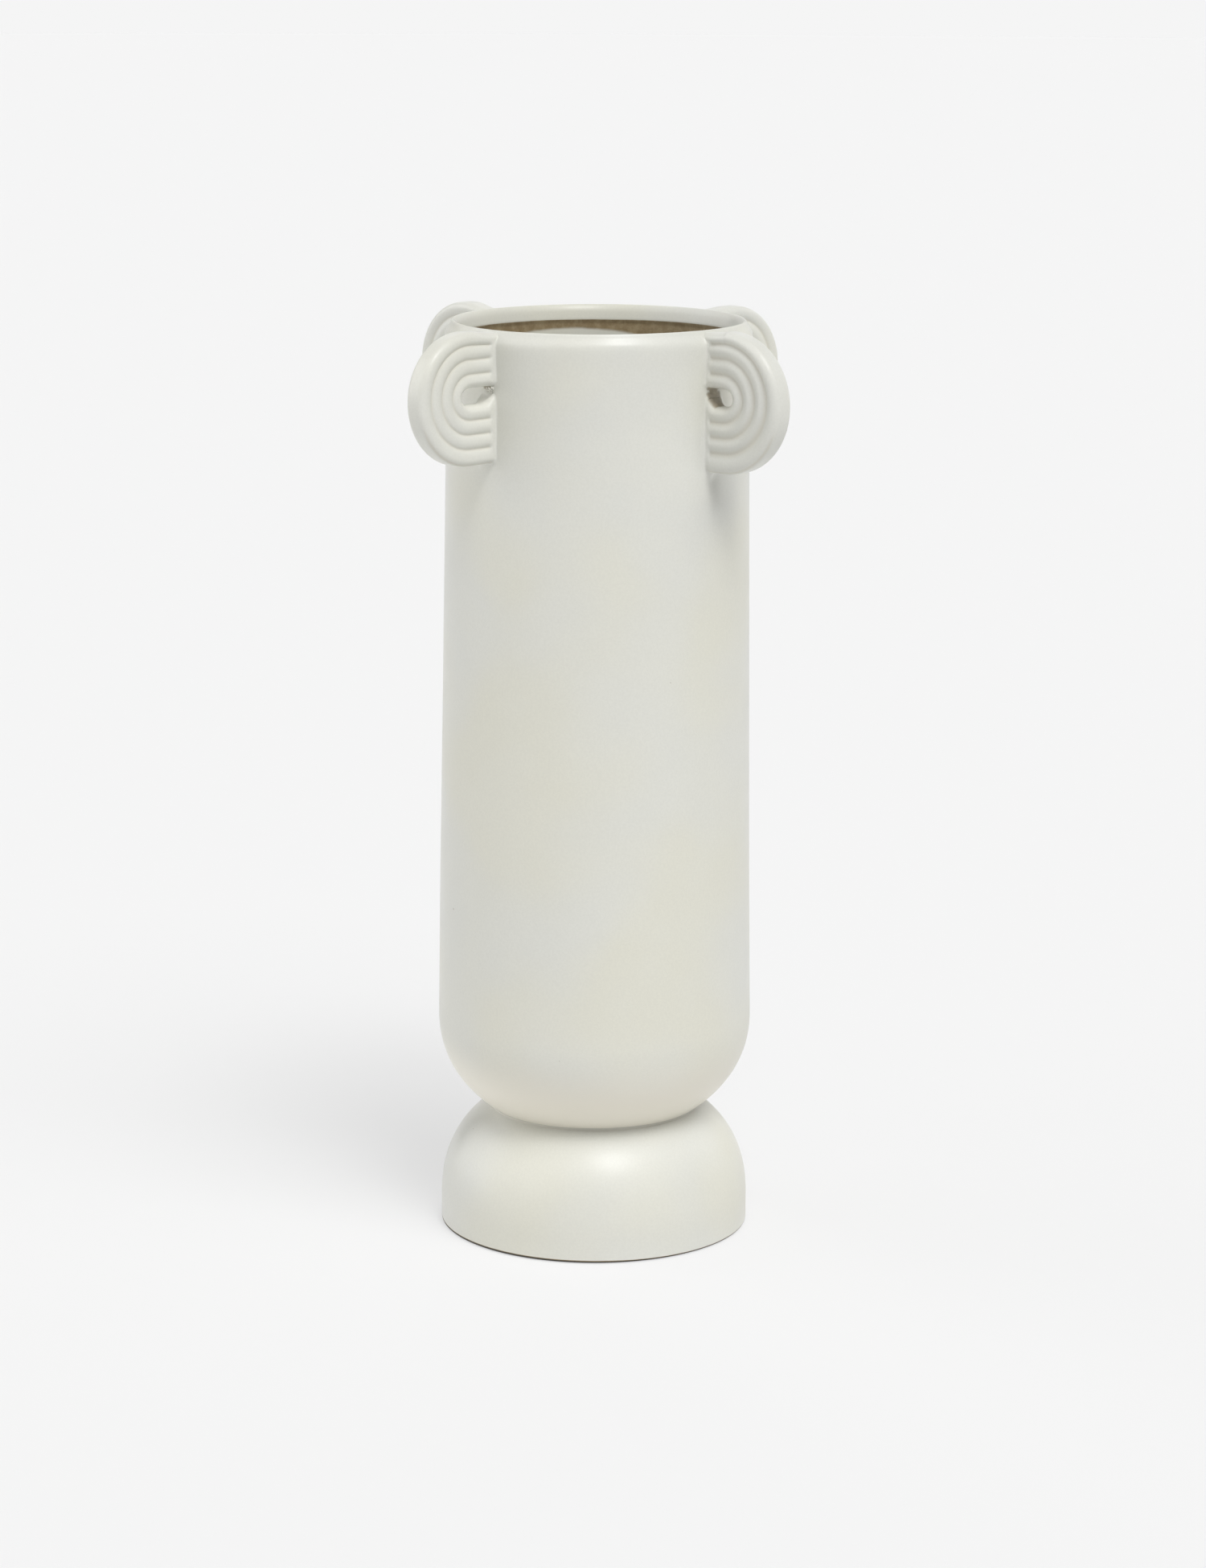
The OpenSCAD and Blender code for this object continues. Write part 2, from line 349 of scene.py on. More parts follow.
class Place:
    """Where one ear sits, measured on its CAD node."""

    def __init__(self, node, trim, rise):
        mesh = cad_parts[node].data
        v = np.empty(len(mesh.vertices) * 3, np.float32)
        mesh.vertices.foreach_get("co", v)
        v = v.reshape(-1, 3).astype(float) / MM
        low, high = v.min(0), v.max(0)
        # The ear is even about its plane, so the point furthest out gives its direction.
        far = v[np.hypot(v[:, 0], v[:, 1]) > np.hypot(v[:, 0], v[:, 1]).max() - 0.3].mean(0)
        self.out = np.array([far[0], far[1]]) / math.hypot(far[0], far[1])
        self.across = np.array([-self.out[1], self.out[0]])
        self.mid_z = (low[2] + high[2]) / 2
        self.r = (high[2] - low[2]) / 2 - trim
        self.half_t = np.abs(v[:, :2] @ self.across).max() - 0.02
        self.end = (v[:, :2] @ self.out).max() - trim - self.r
        self.size = self.r / EAR_R
        self.slot = SLOT_R * self.size
        self.rise = rise  # how far the ridges and slot sit above the middle of the outline
        self.slot_top = self.mid_z + rise + self.slot

    def point(self, along, across, z):
        """Points from distances along the ear from the axis, across it and up."""
        xy = np.multiply.outer(along, self.out) + np.multiply.outer(across, self.across)
        return np.concatenate([xy, np.asarray(z, float)[..., None]], -1)

    def height(self, rho, sine):
        """Height of a point that is rho from the middle line, in the direction with that sine."""
        rho = np.asarray(rho, float)
        return self.mid_z + rho * sine + self.rise * (1 - smooth(rho, self.r - 6, self.r - 0.5))

    def wall_at(self, across, z):
        """Distance from the axis, along the ear, to the wall's outside."""
        across, z = np.asarray(across, float), np.asarray(z, float)
        px = across * self.across[0] - lean(z)
        py = across * self.across[1]
        along = px * self.out[0] + py * self.out[1]
        angle = np.arctan2(py + WALL_TOP_R * self.out[1], px + WALL_TOP_R * self.out[0])
        z = z + rim_drop(angle, z)
        radius = np.interp(z, outer_face[:, 1], outer_face[:, 0]) + WALL_WOBBLE * wobble(angle, z)
        return -along + np.sqrt(along**2 - px**2 - py**2 + radius**2)


SHARP = 0.96  # how far a round ridge turns down into its groove
SOFTEN = (0.12, 0.23, 0.3, 0.23, 0.12)  # evens out the grooves' bottoms
EDGE_R, SLOT_EDGE_R = 2.3, 1.9  # rounding of the outer edge and of the slot's edge on the nominal ear
SHADE_AT, SHADE_OVER = 52, 16  # where painted shade falls on the rounded outer edge, in degrees round it


def ear_section(place, groove, narrow):
    """An ear's section, as a closed loop. narrow is 1 for round ridges with thin grooves and 0 for even
    waves. For each point it gives the distance from the ear's middle line, the place through its
    thickness, how deep in a groove it is and how much painted shade it gets on its rounded outer edge."""
    s, h = place.size, place.half_t
    slot, out = place.slot, place.r
    edge_r = EDGE_R * s
    crown = out - RIDGE_R * s
    pitch = RIDGE_PITCH * s
    slot_round = SLOT_EDGE_R * s
    round_x = slot + slot_round * (1 - np.cos(np.linspace(0, np.pi / 2, 7)))
    face = np.concatenate([round_x[:-1], np.linspace(slot + slot_round, out - edge_r, 90)])
    phase = (crown - face) / pitch
    from_crown = 2 * np.abs(phase - np.round(phase))
    round_dip = (1 - np.sqrt(1 - (SHARP * from_crown) ** 2)) / (1 - math.sqrt(1 - SHARP**2))
    round_dip = np.convolve(np.pad(round_dip, 2, "edge"), SOFTEN, "valid")
    dip = narrow * round_dip + (1 - narrow) * (1 - np.cos(np.pi * from_crown)) / 2
    dip = np.where(face > crown, 0, dip)
    height = h - groove * dip
    near_slot = np.clip((slot + slot_round - face) / slot_round, 0, 1)
    height = height - slot_round * (1 - np.sqrt(1 - near_slot**2))
    dip = np.where(near_slot > 0, 0, dip)
    turn = np.linspace(0, np.pi / 2, 13)[1:]
    upper_x = np.concatenate([face, out - edge_r + edge_r * np.sin(turn)])
    upper_y = np.concatenate([height, h - edge_r + edge_r * np.cos(turn)])
    upper_dip = np.concatenate([dip, np.zeros(len(turn))])
    # Painted shade on the outer edge's rounding
    edge_shade = np.exp(-(((np.degrees(turn) - SHADE_AT) / SHADE_OVER) ** 2))
    upper_edge_shade = np.concatenate([np.zeros(len(face)), edge_shade])
    side_y = np.linspace(h - edge_r, -(h - edge_r), 5)[1:-1]
    slot_y = np.linspace(-upper_y[0], upper_y[0], 7)[1:-1]
    side, inner = np.ones(len(side_y)), np.ones(len(slot_y))
    x = np.concatenate([upper_x, out * side, upper_x[::-1], slot * inner])
    y = np.concatenate([upper_y, side_y, -upper_y[::-1], slot_y])
    dips = np.concatenate([upper_dip, 0 * side, upper_dip[::-1], 0 * inner])
    rim = np.concatenate([upper_edge_shade, 0 * side, upper_edge_shade[::-1], 0 * inner])
    return x, y, dips, rim


ROOT_IN = 47.25  # an ear's leg ends here, inside the wall
POINTED = 1.4  # how much sooner the slot starts to close than the outline does
POINTED_OVER = 9  # and how far out from the slot that reaches
RIM_SHADE = 0.95  # how much painted shade darkens the downward-facing rim of the lower leg and the bend's lower half
LEG_FINE = 9  # up to here from its root, a leg's rings stand close together
BELOW_TOP = 0.6  # the least that an ear's top stands below the lip's top where it leaves the wall
TOP_BLEND = (1.0, 10.0)  # distances from the wall over which it climbs from there to its own height


class Ramp:
    """The slip that fills the slot's lower corner at the wall."""

    def __init__(self, place, height, length):
        self.low = place.slot
        self.height, self.length = height, length

    def lift(self, rho, from_wall):
        """How much it raises the leg's face at a distance from the middle line and from the wall."""
        t = np.clip(np.asarray(from_wall, float) / self.length, 0, 1)
        return self.height * (1 - t) ** 1.8 * (1 - smooth(rho, self.low + 0.2, self.low + 3.6))


def build_ear(name, place, ramp, ear, seed):
    """One ear: its upper leg, its bend and its lower leg, as one swept section."""
    x, y, dip, rim = ear_section(place, ear.groove * place.size, ear.narrow)
    x0, y0, _, _ = ear_section(place, 0.0, ear.narrow)
    run = place.end - ROOT_IN
    leg = np.concatenate([np.linspace(0, LEG_FINE, 37)[:-1], np.linspace(LEG_FINE, run, 8)])
    bend = np.radians(np.linspace(90, -90, 73))
    rings, pools_and_shade, bares = [], [], []
    lip_gap = place.mid_z + place.r - (LIP_Z - BELOW_TOP)
    slot = place.slot
    mid_wall = float(place.wall_at(0, place.mid_z)) - ROOT_IN

    def wave(k, s):
        """-1 to 1, waves along the ear that differ from ear to ear."""
        return math.sin(k * s + seed) * 0.6 + math.sin(2.3 * k * s + 2 * seed) * 0.4

    def shaped(share, progress):
        """The section with its grooves cut to a share of their depth, a little uneven along the ear."""
        share *= 1 + 0.08 * wave(9, progress)
        rho = x0 + (x - x0) * share
        thick = (y0 + (y - y0) * min(share, 1.08)) * (1 - 0.008 * (1 + wave(5, progress)))
        rho = rho - 0.06 * (1 + wave(6, progress + 0.3)) * (rho - rho.min()) / (rho.max() - rho.min())
        return rho, thick

    def add_leg(s, side):
        """A ring on the upper leg (side 1) or the lower one (side -1), s from the root."""
        from_wall = s - mid_wall
        share = float(smooth(from_wall, *ear.fade))
        rho, thick = shaped(share, s / 80 if side > 0 else 1 - s / 80)
        early = POINTED * (1 - smooth(rho, slot, slot + POINTED_OVER)) * (s / run) ** 2
        z = place.height(rho, side)
        if side > 0 and lip_gap > 0:
            z = z - lip_gap * (1 - float(smooth(from_wall, *TOP_BLEND))) * smooth(rho, place.r - 9, place.r)
        if side < 0:
            z = z + ramp.lift(rho, from_wall)
        rings.append(place.point(ROOT_IN + s - early, thick, z))
        # The lower leg's rim gets painted shade.
        pools_and_shade.append(dip * min(share, 1) + (RIM_SHADE * rim if side < 0 else 0))
        in_slot = 1 - smooth(rho, slot - 0.1, slot + 1.7)
        far = (1.0, 4.0) if side > 0 else (3.6, 5.2)
        bares.append(ear.slot_bare * in_slot * (1 - float(smooth(from_wall, *far))))

    def add_bend(a):
        """A ring on the bend, at an angle above the level."""
        rho, thick = shaped(1.0, 0.2 + (math.pi / 2 - a) / 5)
        early = POINTED * (1 - smooth(rho, slot, slot + POINTED_OVER)) * (1 - math.cos(a))
        along = place.end + rho * math.cos(a) - early
        rings.append(place.point(along, thick, place.height(rho, math.sin(a))))
        # The bend's lower half gets painted shade on its rim.
        pools_and_shade.append(dip + RIM_SHADE * rim * float(smooth(-math.sin(a), 0.1, 0.6)))
        bares.append(np.zeros(len(dip)))

    for s in leg[:-1]:
        add_leg(s, 1)
    for a in bend:
        add_bend(a)
    for s in leg[::-1][1:]:
        add_leg(s, -1)
    rows, columns = len(rings), len(x)
    faces = grid_faces(rows, columns, False, True)
    faces.append(tuple(range(columns))[::-1])
    faces.append(tuple((rows - 1) * columns + k for k in range(columns)))
    named = {"pool_and_shade": np.concatenate(pools_and_shade), "bare": np.concatenate(bares)}
    return make_piece(name, np.concatenate(rings), faces, named)


# ---------------------------------------------------------------- slip where an ear meets the wall

# How far a bead's face runs on past where it meets the leg and the wall, and how deep under their faces
LEG_RUN, LEG_UNDER = 0.3, 0.16
WALL_RUN, WALL_UNDER = 0.4, 0.07
BELOW_LIP = 1.4  # no bead comes nearer the lip's top
# How bare a bead in a bare slot is, point by point from the leg to the wall
BARE_ACROSS = np.array([1, 1, 1, 1, 1, 1, 0.95, 0.85, 0.65, 0.3, 0.2, 0])


def fillet(place, path, normals, widths, rise, lift, sunk):
    """A closed bead with a hollow face along a path on the wall. path and normals are (across, height) pairs,
    widths how far it reaches along the wall, rise how far it climbs the leg, lift(point, climb) how much
    higher the leg's face is there and sunk how deep the bead is hidden. The face runs on a little under the
    wall and the leg, which keeps its shading even."""
    arc = np.radians(np.linspace(0, 90, 9))
    rows = []
    for k, (q, m, w, h, hidden) in enumerate(zip(path, normals, widths, rise, sunk)):
        a = np.concatenate([[-LEG_UNDER], w - w * np.cos(arc), [w + WALL_RUN, -SUNK]]) - hidden
        b = np.concatenate([[h + LEG_RUN], h - h * np.sin(arc), [-WALL_UNDER, -SUNK]])
        n = q[0] + m[0] * a
        z = q[1] + m[1] * a + lift(k, np.maximum(b, 0))
        rows.append(place.point(place.wall_at(n, z) + b - hidden, n, np.minimum(z, LIP_Z - BELOW_LIP)))
    return np.concatenate(rows), grid_faces(len(rows), len(arc) + 3, True, True)


def loop_normals(p):
    """Outward normals of a closed loop of points, whichever way it runs."""
    d = np.roll(p, -1, 0) - np.roll(p, 1, 0)
    n = np.stack([d[:, 1], -d[:, 0]], 1)
    n /= np.linalg.norm(n, axis=1)[:, None]
    if ((p - p.mean(0)) * n).sum() < 0:
        n = -n
    return n


def slot_patch(place, bare_depth, bareness, seed):
    """Rough slip on the wall inside the slot. It is bare down to bare_depth below the slot's top."""
    rng = np.random.default_rng(seed)
    half, count = place.half_t - 1.8, 19
    top = place.slot_top
    ns, zs = np.linspace(-half, half, count), np.linspace(top - 2 * place.slot, top, count)
    n, z = np.meshgrid(ns, zs, indexing="ij")
    rim = np.minimum(np.minimum(n + half, half - n) / 0.8, 1)
    front = place.wall_at(n, z) + rim * (0.3 + rng.uniform(-0.13, 0.13, n.shape)) - 0.1
    back = place.wall_at(n, z) - 0.6
    verts = np.concatenate([place.point(front, n, z).reshape(-1, 3), place.point(back, n, z).reshape(-1, 3)])
    back_faces = grid_faces(count, count, False, False, count * count)
    faces = grid_faces(count, count, False, False) + [f[::-1] for f in back_faces]
    last = count - 1
    edge = list(range(count)) + [count * k + last for k in range(1, count)]
    edge += [count * last + k for k in range(last - 1, -1, -1)] + [count * k for k in range(last - 1, 0, -1)]
    for a, b in zip(edge, edge[1:] + edge[:1]):
        faces.append((a, b, b + count * count, a + count * count))
    bare = bareness * (1 - smooth(top - z, bare_depth - 1, bare_depth + 0.6))
    return verts, faces, np.concatenate([bare.ravel(), np.zeros(n.size)])


def crumb(middle, radius, rng):
    """A small rough lump."""
    t = np.linspace(-math.pi / 2, math.pi / 2, 8)
    verts, faces = lathe([(math.cos(a), math.sin(a)) for a in t], 10, True)
    verts = verts * radius * rng.uniform(0.75, 1.15, (len(verts), 1)) * rng.uniform(0.7, 1.2, 3)
    return verts + middle, faces


CRUMB_BARE = 0.43
HIDE = 0.9  # how deep a bead is hidden where there is no room for it
LEAST = 0.03  # the least reach of a bead, so that it stays closed
DROP_WIDTH = 1.3


def build_slip(name, place, ramp, ear, seed):
    """The slip round an ear's two roots, the patch on the wall between them and its crumbs, as one piece."""
    x, y, _, _ = ear_section(place, 0.0, 1.0)
    keep = np.concatenate([[True], np.hypot(np.diff(x), np.diff(y)) > 0.05])
    x, y = x[keep], y[keep]
    rng = np.random.default_rng(seed)
    phases = rng.uniform(0, 6.28, 4)
    length = np.cumsum(np.hypot(np.diff(x, append=x[0]), np.diff(y, append=y[0])))
    around = 2 * np.pi * length / length[-1]
    uneven = 1 + 0.12 * np.sin(3 * around + phases[0]) + 0.10 * np.sin(7 * around + phases[1])
    on_slot = smooth(1 - (x - x.min()) / (2.2 * place.size), 0, 1)
    shells, bares = [], []
    for side in (-1, 1):
        p = np.stack([y, place.height(x, side)], 1)
        m = loop_normals(p)
        w = ear.slip * uneven * (1 - 0.4 * on_slot)
        if side < 0:
            # It gathers under the ear, where a drop of it hangs.
            under = smooth(x, place.r - 1.6, place.r - 0.2)
            drop_size, drop_at = ear.drop
            drop = np.exp(-(((y - drop_at) / DROP_WIDTH) ** 2)) * under
            w = w + 0.4 * ear.slip * under
            wide, high = ear.wall_slip * w + drop_size * drop, w + 0.5 * drop_size * drop
            shells.append(fillet(place, p, m, wide, high, lambda k, b: ramp.lift(x[k], b), np.zeros(len(p))))
        else:
            # It thins out over the lip's shoulder and on top of the ear.
            on_lip = smooth(p[:, 1], LIP_Z - 4.5, LIP_Z - 0.8)
            on_top = smooth(m[:, 1] * (p[:, 1] > place.mid_z + 9), 0.3, 0.9)
            room = (1 - on_lip) * (1 - on_top)
            w = np.maximum(w * room, LEAST)
            sunk = HIDE * (1 - smooth(room, 0, 0.3))
            shells.append(fillet(place, p, m, ear.wall_slip * w, w, lambda k, b: 0.0, sunk))
        # Bare inside the slot, glazed again towards its front and back
        inside = 1 - smooth(np.abs(p[:, 0]), place.half_t - 1.3, place.half_t - 0.1)
        share = ear.slot_bare * smooth(on_slot, 0.3, 1.0) * inside
        bares.append(np.outer(share, BARE_ACROSS).ravel())
    patch = slot_patch(place, *ear.bare, seed)
    shells.append(patch[:2])
    bares.append(patch[2])
    for along, across, z, radius in ear.crumbs:
        wall = float(place.wall_at(across, place.slot_top))
        shells.append(crumb(place.point(wall + along, across, place.slot_top + z), radius, rng))
        bares.append(np.full(len(shells[-1][0]), CRUMB_BARE))
    verts, faces, first = [], [], 0
    for v, f in shells:
        verts.append(v)
        faces += [tuple(k + first for k in face) for face in f]
        first += len(v)
    return make_piece(name, np.concatenate(verts), faces, {"bare": np.concatenate(bares)})


def face_outwards(piece):
    """Turns a closed mesh's faces outwards."""
    b = bmesh.new()
    b.from_mesh(piece.data)
    bmesh.ops.recalc_face_normals(b, faces=b.faces)
    b.to_mesh(piece.data)
    b.free()


# Crumbs in the front left slot: (from the wall, across, above the slot's top, radius)
CRUMBS = [
    (0.5, 3.0, -0.7, 0.5), (1.3, 3.2, -0.45, 0.42), (0.9, 2.4, -1.4, 0.45), (1.9, 2.9, -0.9, 0.38),
    (2.5, 3.1, -0.4, 0.3), (0.4, 2.2, -2.1, 0.4), (1.6, 2.0, -1.7, 0.34), (2.4, 2.2, -1.5, 0.26),
    (3.2, 2.9, -0.4, 0.24),
]
DEEP = 4  # where the clay is bare further down than this, the beads and the ear's own slot are bare too


class Ear:
    """How one ear differs from the others, in millimetres."""

    def __init__(self, trim, rise, groove, narrow, fade, slip, wall_slip, ramp, drop, bare, crumbs=()):
        self.trim = trim  # how much smaller its outline is than its CAD node's
        self.rise = rise  # how far its ridges and slot sit above its middle
        self.groove, self.narrow = groove, narrow  # its grooves' depth, and their shape as in ear_section
        self.fade = fade  # where its grooves fade in, from the wall
        self.slip = slip  # how far the slip round its roots climbs it
        self.wall_slip = wall_slip  # and how many times further it reaches along the wall
        self.ramp = ramp  # height and length of the slip in the slot's lower corner
        self.drop = drop  # size and place of the drop of slip under it
        self.bare = bare  # how far down the slot the clay is bare, and how bare
        self.slot_bare = bare[1] if bare[0] > DEEP else 0.0
        self.crumbs = crumbs


EARS = {
    "front_left": Ear(0.35, 0.7, 0.8, 0.9, (1.0, 2.7), 0.6, 1.1, (3.0, 4.4), (2.3, -2.8), (1.8, 0.6), CRUMBS),
    "front_right": Ear(0.1, 1.5, 0.85, 0.45, (0.9, 2.2), 0.75, 2.4, (3.8, 4.3), (2.2, -1.6), (4.8, 0.56)),
    "back_left": Ear(0.1, 0.4, 0.75, 0.7, (1.2, 2.6), 0.8, 1.6, (2.4, 4.2), (1.0, 1.0), (1.5, 0.6)),
    "back_right": Ear(0.1, 0.4, 0.75, 0.7, (1.2, 2.8), 0.8, 1.6, (2.6, 4.2), (1.2, -1.0), (1.5, 0.6)),
}
SLIP_SEED = 11
ears, slips = {}, {}
for index, (spot, ear) in enumerate(EARS.items()):
    place = Place("ear_" + spot, ear.trim, ear.rise)
    ramp = Ramp(place, *ear.ramp)
    ears[spot] = build_ear("eared_" + spot, place, ramp, ear, 1.7 * index + 0.4)
    slips[spot] = build_slip("slip_" + spot, place, ramp, ear, SLIP_SEED + index)

for piece in (vessel, foot, neck, *ears.values(), *slips.values()):
    face_outwards(piece)

# ---------------------------------------------------------------- materials


class Nodes:
    """Short ways to add and link a material's nodes."""

    def __init__(self, name):
        self.material = bpy.data.materials.new(name)
        self.material.use_nodes = True
        self.tree = self.material.node_tree
        self.tree.nodes.clear()

    def add(self, kind, settings=None, **inputs):
        """A node with its settings and inputs. An input named i0, i1 and so on is found by its number."""
        node = self.tree.nodes.new("ShaderNode" + kind)
        for key, value in (settings or {}).items():
            setattr(node, key, value)
        for key, value in inputs.items():
            self.feed(node.inputs[int(key[1:]) if key.startswith("i") else key.replace("_", " ")], value)
        return node

    def feed(self, socket, value):
        """Links a socket, or sets it to a plain value."""
        if isinstance(value, bpy.types.NodeSocket):
            self.tree.links.new(value, socket)
        else:
            socket.default_value = value

    def noise(self, at, scale, detail, roughness):
        """Noise at a place, about 0.5 on average."""
        node = self.add("TexNoise", None, Vector=at, Scale=scale, Detail=detail, Roughness=roughness)
        return node.outputs[0]

    def mark(self, name):
        """One of the named values that the mesh carries, 0 where it has none."""
        return self.add("Attribute", {"attribute_name": name}).outputs["Fac"]

    def math(self, operation, a, b=0.0, clamp=False):
        """Two values put together by a named operation."""
        return self.add("Math", {"operation": operation, "use_clamp": clamp}, i0=a, i1=b).outputs[0]

    def ramp(self, value, low, high, to_low=0.0, to_high=1.0):
        """to_low where the value is below low and to_high above high, with an even turn between them."""
        smoothly = {"interpolation_type": "SMOOTHSTEP"}
        return self.add("MapRange", smoothly, i0=value, i1=low, i2=high, i3=to_low, i4=to_high).outputs[0]

    def mix(self, share, a, b):
        """Colour a where the share is 0 and b where it is 1."""
        node = self.add("Mix", {"data_type": "RGBA"})
        # The mixer's colour sockets come after those for plain values and vectors.
        for socket, value in ((node.inputs[0], share), (node.inputs[6], a), (node.inputs[7], b)):
            self.feed(socket, value)
        return node.outputs[2]

    def finish(self, shader):
        """Links the shader to the output and gives the material."""
        self.add("OutputMaterial", None, Surface=shader.outputs[0])
        return self.material


# The glaze's own colour, and those of its warmer and cooler patches
BASE = (0.699, 0.695, 0.629, 1)
WARM = (0.679, 0.671, 0.586, 1)
COOL = (0.669, 0.671, 0.625, 1)
GRAIN = (0.4893, 0.4865, 0.4403, 1)
# deeper glaze in the grooves, and painted shade on the ears' lower rims and in the crease
POOLED_AND_SHADE = (0.54, 0.50, 0.40, 1)
# painted bounce light on the bowl's underside
PAINTED_BOUNCE_LIGHT = (0.81, 0.775, 0.673, 1)
SPECK = (0.20, 0.15, 0.09, 1)
DARK_CLAY, LIGHT_CLAY = (0.235, 0.175, 0.095, 1), (0.33, 0.26, 0.155, 1)
# painted contact shadow at the foot's bottom edge
PAINTED_CONTACT_SHADOW = (0.05, 0.045, 0.035, 1)
# The glaze's roughness. Cycles treats less than about 0.27 as a mirror when it cleans up noise, so a
# surface that crosses that value gets outlines.
SMOOTHEST, ROUGHEST = 0.28, 0.36
SPECK_CHANCE = 0.045
NOISE_FROM = (0.37, 0.21, 0.13)  # sets which stretch of the noise falls on the vase


def glaze_material(name):
    """A satin glaze over buff clay: soft mottling, rare specks and pinholes, a faint orange peel, deeper
    colour in grooves and bare clay where the glaze is missing. It also carries painted bounce light under the
    bowl and painted shade on the ears' lower rims, in the crease and at the foot's bottom edge."""
    n = Nodes(name)
    at = n.add("TexCoord").outputs["Object"]
    at = n.add("VectorMath", {"operation": "ADD"}, i0=at, i1=NOISE_FROM).outputs[0]
    # Each noise's scale is roughly how many of its waves fit in a metre.
    broad = n.noise(at, 22.0, 1.0, 0.4)
    soft = n.noise(at, 60.0, 1.0, 0.4)
    fine = n.noise(at, 95.0, 4.0, 0.6)
    peel = n.noise(at, 260.0, 2.0, 0.5)
    grit = n.noise(at, 420.0, 3.0, 0.7)
    grain = n.noise(at, 1400.0, 2.0, 0.6)
    # Soft mottling, and a grain far weaker than it
    color = n.mix(n.ramp(broad, 0.35, 0.65), COOL, WARM)
    color = n.mix(n.ramp(soft, 0.3, 0.7, 0.0, 0.3), color, BASE)
    color = n.mix(n.ramp(grain, 0.3, 0.7, 0.0, 0.12), color, GRAIN)
    # Deeper glaze in the grooves lets the clay's warmth through. The same tint paints shade on the ears'
    # lower rims and in the crease.
    pooled_and_shade = n.math("MULTIPLY", n.ramp(n.mark("pool_and_shade"), 0.25, 1.0), n.ramp(fine, 0.2, 0.8, 0.75, 1.0))
    color = n.mix(n.math("MULTIPLY", pooled_and_shade, 0.42), color, POOLED_AND_SHADE)
    # Painted bounce light lightens and warms the bowl's underside.
    color = n.mix(n.mark("cream"), color, PAINTED_BOUNCE_LIGHT)
    # Iron specks, each with its own size
    cell = n.add("TexVoronoi", {"feature": "F1"}, Vector=at, Scale=170.0, Randomness=1.0)
    draw = n.add("SeparateColor", None, Color=cell.outputs["Color"]).outputs
    chosen = n.math("GREATER_THAN", draw[0], 1 - SPECK_CHANCE)
    reach = n.add("Math", {"operation": "MULTIPLY_ADD"}, i0=draw[1], i1=0.055, i2=0.03).outputs[0]
    inside_speck = n.math("SUBTRACT", 1.0, n.math("DIVIDE", cell.outputs["Distance"], reach), True)
    speck = n.math("MULTIPLY", n.ramp(inside_speck, 0.0, 0.5), chosen)
    color = n.mix(n.math("MULTIPLY", speck, 0.5), color, SPECK)
    # Bare clay, with an uneven edge
    bare = n.mark("bare")
    clay = n.mix(n.ramp(grit, 0.35, 0.7), DARK_CLAY, LIGHT_CLAY)
    uneven = n.math("MULTIPLY", n.math("SUBTRACT", fine, 0.5), 0.35)
    clay_share = n.ramp(n.math("ADD", bare, uneven), 0.3, 0.75)
    color = n.mix(clay_share, color, clay)
    # Painted contact shadow: the ring that the foot stands on is darkened to near black.
    color = n.mix(n.ramp(bare, 1.1, 1.8), color, PAINTED_CONTACT_SHADOW)
    rough = n.ramp(fine, 0.25, 0.75, SMOOTHEST, ROUGHEST)
    rough = n.math("ADD", rough, n.math("MULTIPLY", clay_share, 0.3))
    # Surface: long waves, a faint orange peel, pinholes, and grit on bare clay
    height = n.math("ADD", n.math("MULTIPLY", peel, 0.05), n.math("MULTIPLY", fine, 0.16))
    height = n.math("ADD", height, n.math("MULTIPLY", speck, -0.25))
    height = n.math("ADD", height, n.math("MULTIPLY", n.math("MULTIPLY", grit, clay_share), 0.35))
    bump = n.add("Bump", None, Strength=0.13, Distance=0.0002, Height=height).outputs[0]
    return n.finish(n.add("BsdfPrincipled", None, Base_Color=color, Roughness=rough, Normal=bump, IOR=1.5))


glaze, slip_glaze = glaze_material("satin_glaze"), glaze_material("glazed_slip")
for piece, material, slot in (
    (vessel, glaze, "satin_glaze"),
    (foot, glaze, "satin_glaze"),
    (neck, slip_glaze, "glazed_slip"),
    *((piece, glaze, "satin_glaze") for piece in ears.values()),
    *((piece, slip_glaze, "glazed_slip") for piece in slips.values()),
):
    piece.data.materials.append(material)
    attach(piece, "root")

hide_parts("vessel_body")
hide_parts("pedestal_foot")
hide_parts("neck_slip_joint")
for spot in EARS:
    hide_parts("ear_" + spot)
    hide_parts("slip_joint_" + spot)

# ---------------------------------------------------------------- floor and backdrop

WHITE = (1, 1, 1, 1)
PAPER = (0.294, 0.294, 0.294, 1)
PAPER_GLOW, BACKDROP_GLOW = 0.573, 0.913
FLOOR_HALF = 40.0
BACKDROP_SIDES, BACKDROP_R, BACKDROP_HIGH = 48, 11.0, 8.0


def set_up(name, points, faces, material):
    """An object of the studio, in metres."""
    mesh = bpy.data.meshes.new(name)
    mesh.from_pydata(points, [], faces)
    mesh.materials.append(material)
    thing = bpy.data.objects.new(name, mesh)
    bpy.context.collection.objects.link(thing)
    return thing


# A pale matt sweep, lit a little from below as a studio table is, so that its shadows stay light
n = Nodes("floor_paper")
paper = n.add("BsdfPrincipled", None, Base_Color=PAPER, Roughness=0.9, Specular_IOR_Level=0.0)
paper.inputs["Emission Color"].default_value = WHITE
paper.inputs["Emission Strength"].default_value = PAPER_GLOW
floor_corners = [(FLOOR_HALF * x, FLOOR_HALF * y, 0) for x, y in ((-1, -1), (1, -1), (1, 1), (-1, 1))]
floor = set_up("floor", floor_corners, [(0, 1, 2, 3)], n.finish(paper))

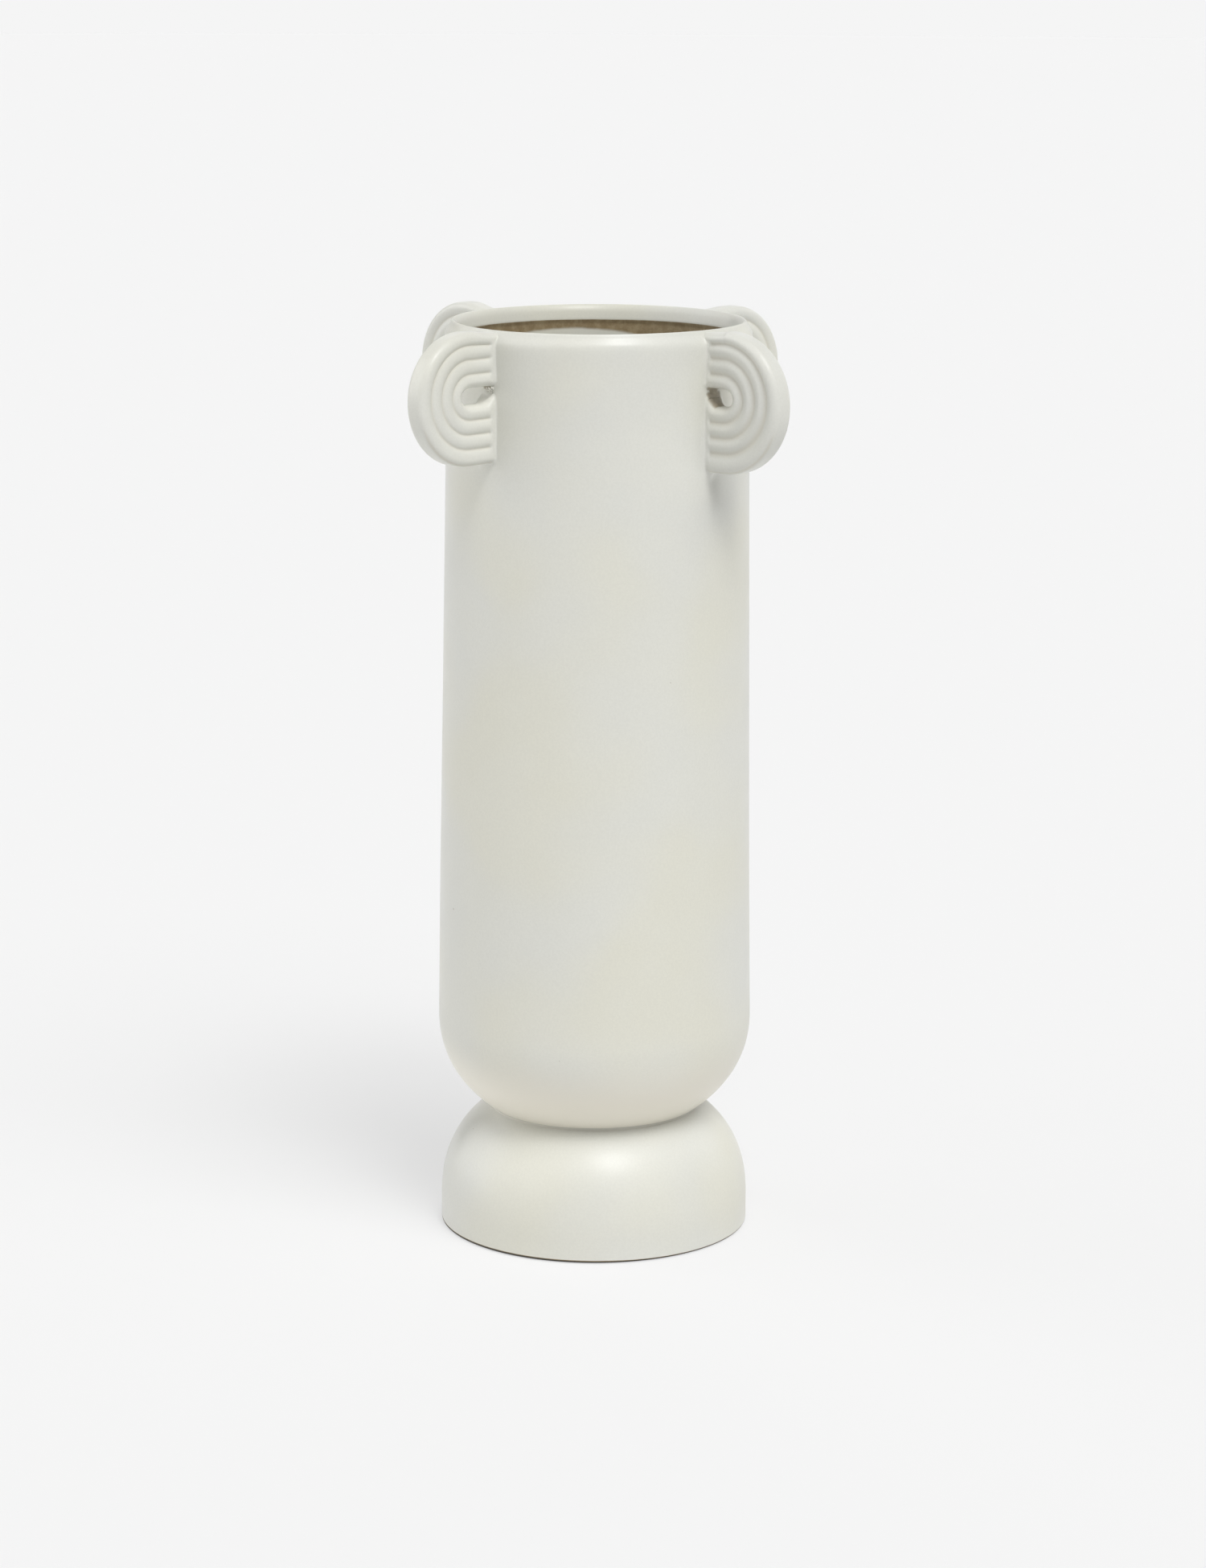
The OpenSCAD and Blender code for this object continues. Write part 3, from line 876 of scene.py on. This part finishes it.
# A far backdrop closes the view above the floor. It neither lights nor shades the vase.
n = Nodes("backdrop_paper")
glow = n.add("Emission", None, Color=WHITE, Strength=BACKDROP_GLOW)
turn = np.linspace(0, 2 * math.pi, BACKDROP_SIDES, endpoint=False)
ring = BACKDROP_R * np.stack([np.cos(turn), np.sin(turn)], 1)
backdrop_points = [(x, y, z) for z in (0.0, BACKDROP_HIGH) for x, y in ring]
backdrop = set_up("backdrop", backdrop_points, grid_faces(2, BACKDROP_SIDES, False, True), n.finish(glow))
backdrop.visible_shadow = False
backdrop.visible_diffuse = False
backdrop.visible_glossy = False

# ---------------------------------------------------------------- light


def towards(azimuth, elevation):
    """Unit vector towards a direction: azimuth in degrees to the right of the front."""
    a, e = math.radians(azimuth), math.radians(elevation)
    return Vector((math.sin(a) * math.cos(e), -math.cos(a) * math.cos(e), math.sin(e)))


def soft_light(name, azimuth, elevation, spread, strength, shows=True):
    """A far round softbox, spread degrees across. strength is its irradiance on a face turned to it.
    One that does not show stands for light scattered by the room and makes no highlight."""
    light = bpy.data.lights.new(name, "SUN")
    light.angle = math.radians(spread)
    light.energy = strength
    lamp = bpy.data.objects.new(name, light)
    lamp.rotation_euler = towards(azimuth, elevation).to_track_quat("Z", "Y").to_euler()
    lamp.visible_glossy = shows
    bpy.context.collection.objects.link(lamp)


soft_light("key_softbox", 22, 57, 16, 0.706)
soft_light("key_fill", -14, 58, 18, 0.052)
soft_light("room_right", 30, 55, 40, 1.88, shows=False)
soft_light("room_top", 60, 60, 40, 0.454, shows=False)
soft_light("left_window", -90, 40, 50, 0.141)
soft_light("left_front_window", -45, 40, 50, 0.25)
soft_light("back_window", 180, 40, 50, 0.194)
soft_light("left_back_wall", -110, 12, 56, 1.1)
soft_light("left_front_wall", -70, 12, 56, 0.436)
soft_light("right_front_wall", 45, 15, 50, 0.12)
soft_light("right_back_wall", 130, 12, 56, 0.51)
soft_light("back_wall", 180, 12, 56, 0.41)

ROOM_GLOW = 0.03
world = bpy.data.worlds.new("studio")
bpy.context.scene.world = world
world.use_nodes = True
world.node_tree.nodes["Background"].inputs["Color"].default_value = WHITE
world.node_tree.nodes["Background"].inputs["Strength"].default_value = ROOM_GLOW

# ---------------------------------------------------------------- camera

CAMERA_AT = (0.00258, -1.32792, 0.44393)
LENS = 93.78
PITCH, ROLL = 0.2177, 0.004  # radians below the level, and round the line of sight
camera_data = bpy.data.cameras.new("camera")
camera_data.sensor_width = 36
camera_data.lens = LENS
camera_data.clip_end = 200
camera = bpy.data.objects.new("camera", camera_data)
camera.matrix_world = (
    Matrix.Translation(CAMERA_AT)
    @ Matrix.Rotation(math.pi / 2 - PITCH, 4, "X")
    @ Matrix.Rotation(ROLL, 4, "Z")
)
bpy.context.collection.objects.link(camera)
bpy.context.scene.camera = camera
bpy.context.scene.view_settings.view_transform = "Standard"
